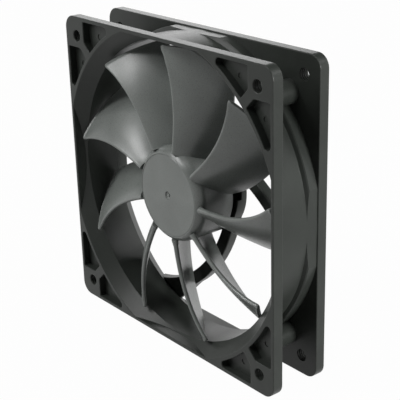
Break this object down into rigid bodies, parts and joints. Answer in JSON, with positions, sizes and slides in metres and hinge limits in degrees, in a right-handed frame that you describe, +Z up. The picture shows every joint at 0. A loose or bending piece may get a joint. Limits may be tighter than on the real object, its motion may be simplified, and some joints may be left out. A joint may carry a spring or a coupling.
{
  "type": "case fan",
  "caption": "Square axial case fan: a pocketed plastic frame with curved rear struts, a swept-blade impeller and a brushless motor in its hub.",
  "frame": {"origin": "middle of the lower edge: the centre of the bottom of the bounding box, which the fan stands on", "axes": "+Z up, +Y along the air flow from the intake face to the exhaust face, +X to the right seen from the intake face"},
  "size_m": [0.12, 0.025, 0.12],
  "materials": {
    "frame_plastic": "satin",
    "impeller_plastic": "satin",
    "brass": "satin",
    "bronze": "matte",
    "rubber": "matte",
    "thrust_plastic": "satin",
    "lamination_steel": "satin",
    "insulator_plastic": "satin",
    "enamelled_copper": "gloss",
    "tinned_brass": "satin",
    "board_laminate": "satin",
    "chip_plastic": "matte",
    "ceramic": "matte",
    "label_foil": "satin",
    "yoke_steel": "satin",
    "bonded_ferrite": "matte",
    "shaft_steel": "polished",
    "washer_plastic": "satin"
  },
  "bodies": {
    "housing": {"frame": "frame_plastic", "bearing_tube": "brass", "sleeve_bearing": "bronze", "oil_seal": "rubber", "thrust_plate": "thrust_plastic", "bearing_plug": "rubber", "stator_core": "lamination_steel", "front_insulator": "insulator_plastic", "rear_insulator": "insulator_plastic", "windings": "enamelled_copper", "winding_pins": "tinned_brass", "circuit_board": "board_laminate", "driver_chip": "chip_plastic", "capacitors": "ceramic", "resistors": "chip_plastic", "bearing_label": "label_foil"},
    "rotor": {"impeller": "impeller_plastic", "rotor_yoke": "yoke_steel", "ring_magnet": "bonded_ferrite", "shaft_bush": "brass", "shaft": "shaft_steel", "oil_slinger": "washer_plastic", "retaining_clip": "washer_plastic"}
  },
  "joints": [
    {"name": "rotor_spin", "type": "hinge", "parent": "housing", "child": "rotor", "pos_m": [0, 0, 0.06], "axis": [0, -1, 0], "continuous": true}
  ]
}
